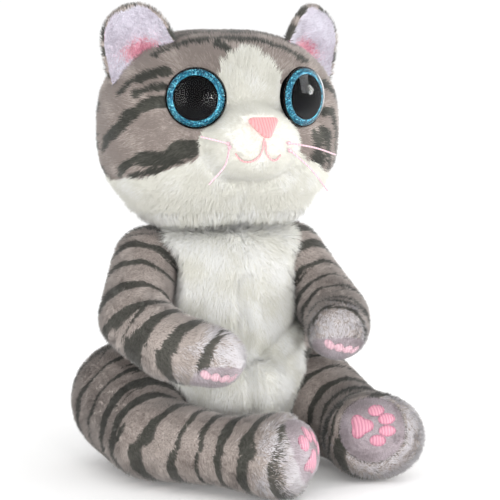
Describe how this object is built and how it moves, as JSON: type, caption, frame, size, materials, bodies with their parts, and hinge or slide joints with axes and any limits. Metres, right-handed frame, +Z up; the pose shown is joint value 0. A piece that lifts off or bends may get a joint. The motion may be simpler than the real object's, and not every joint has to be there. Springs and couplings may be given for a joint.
{
  "type": "sitting plush cat",
  "caption": "Sitting stuffed toy cat with a large square head, domed blue eyes, striped grey plush, a pale front, soft limbs held forward and a tail.",
  "frame": {"origin": "middle of the flat seat under the torso, on the surface that the cat sits on", "axes": "+Z up, -Y the way the cat faces, +X the cat's left"},
  "size_m": [0.125, 0.1942, 0.1924],
  "materials": {
    "plush_taupe": "short pile",
    "plush_cream": "long soft pile",
    "lining_plush": "short smooth pile",
    "pink_thread": "satin stitch",
    "fibre_filling": "loose fibre",
    "bag_cloth": "plain weave",
    "plastic_pellets": "small beads",
    "black_plastic": "polished",
    "glitter_blue": "metallic flake",
    "clear_plastic": "polished clear",
    "washer_plastic": "moulded"
  },
  "bodies": {
    "torso": {"body_cover": "plush_taupe", "chest_panel_left": "plush_cream", "chest_panel_right": "plush_cream", "lap_panel_left": "plush_cream", "lap_panel_right": "plush_cream", "body_stuffing": "fibre_filling", "pellet_bag": "bag_cloth", "pellet_fill": "plastic_pellets", "closure_stitches": "plush_taupe"},
    "neck": {"neck_sleeve": "plush_cream", "neck_stuffing": "fibre_filling"},
    "head": {"head_cover": "plush_taupe", "blaze_panel": "plush_cream", "cheek_panel_left": "plush_cream", "cheek_panel_right": "plush_cream", "head_stuffing": "fibre_filling", "muzzle_cover": "plush_cream", "muzzle_stuffing": "fibre_filling", "nose": "pink_thread", "mouth_stitches": "pink_thread", "whiskers_left": "pink_thread", "whiskers_right": "pink_thread", "eye_base_left": "black_plastic", "eye_iris_left": "glitter_blue", "eye_pupil_left": "black_plastic", "eye_lens_left": "clear_plastic", "eye_washer_left": "washer_plastic", "eye_base_right": "black_plastic", "eye_iris_right": "glitter_blue", "eye_pupil_right": "black_plastic", "eye_lens_right": "clear_plastic", "eye_washer_right": "washer_plastic"},
    "ear_left": {"ear_back_left": "plush_taupe", "ear_lining_left": "lining_plush"},
    "ear_right": {"ear_back_right": "plush_taupe", "ear_lining_right": "lining_plush"},
    "arm_left": {"arm_cover_left": "plush_taupe", "arm_stuffing_left": "fibre_filling", "palm_patch_left": "lining_plush", "palm_pads_left": "pink_thread"},
    "arm_right": {"arm_cover_right": "plush_taupe", "arm_stuffing_right": "fibre_filling", "palm_patch_right": "lining_plush", "palm_pads_right": "pink_thread"},
    "leg_left": {"leg_cover_left": "plush_taupe", "leg_stuffing_left": "fibre_filling", "sole_patch_left": "lining_plush", "sole_pads_left": "pink_thread"},
    "leg_right": {"leg_cover_right": "plush_taupe", "leg_stuffing_right": "fibre_filling", "sole_patch_right": "lining_plush", "sole_pads_right": "pink_thread"},
    "tail": {"tail_cover": "plush_taupe", "tail_stuffing": "fibre_filling"}
  },
  "joints": [
    {"name": "head_turn", "type": "hinge", "parent": "torso", "child": "neck", "pos_m": [0, -0.005, 0.1], "axis": [0, 0, 1], "range_deg": [-25, 25]},
    {"name": "head_nod", "type": "hinge", "parent": "neck", "child": "head", "pos_m": [0, -0.005, 0.1], "axis": [1, 0, 0], "range_deg": [-7, 7]},
    {"name": "shoulder_left", "type": "hinge", "parent": "torso", "child": "arm_left", "pos_m": [0.032, -0.008, 0.087], "axis": [-1, 0, 0], "range_deg": [0, 35]},
    {"name": "shoulder_right", "type": "hinge", "parent": "torso", "child": "arm_right", "pos_m": [-0.032, -0.008, 0.087], "axis": [-1, 0, 0], "range_deg": [0, 35]},
    {"name": "hip_left", "type": "hinge", "parent": "torso", "child": "leg_left", "pos_m": [0.038, 0.004, 0.027], "axis": [0, 0, 1], "range_deg": [0, 20]},
    {"name": "hip_right", "type": "hinge", "parent": "torso", "child": "leg_right", "pos_m": [-0.036, 0.004, 0.027], "axis": [0, 0, 1], "range_deg": [-20, 0]},
    {"name": "tail_wag", "type": "hinge", "parent": "torso", "child": "tail", "pos_m": [0, 0.04, 0.012], "axis": [0, 0, 1], "range_deg": [-35, 35]},
    {"name": "ear_fold_left", "type": "hinge", "parent": "head", "child": "ear_left", "pos_m": [0.032, -0.013, 0.168], "axis": [0.7571, 0.407, -0.511], "range_deg": [-10, 10], "stiffness_Nm_per_rad": 0.02},
    {"name": "ear_fold_right", "type": "hinge", "parent": "head", "child": "ear_right", "pos_m": [-0.032, -0.013, 0.168], "axis": [0.7571, -0.407, 0.511], "range_deg": [-10, 10], "stiffness_Nm_per_rad": 0.02}
  ]
}
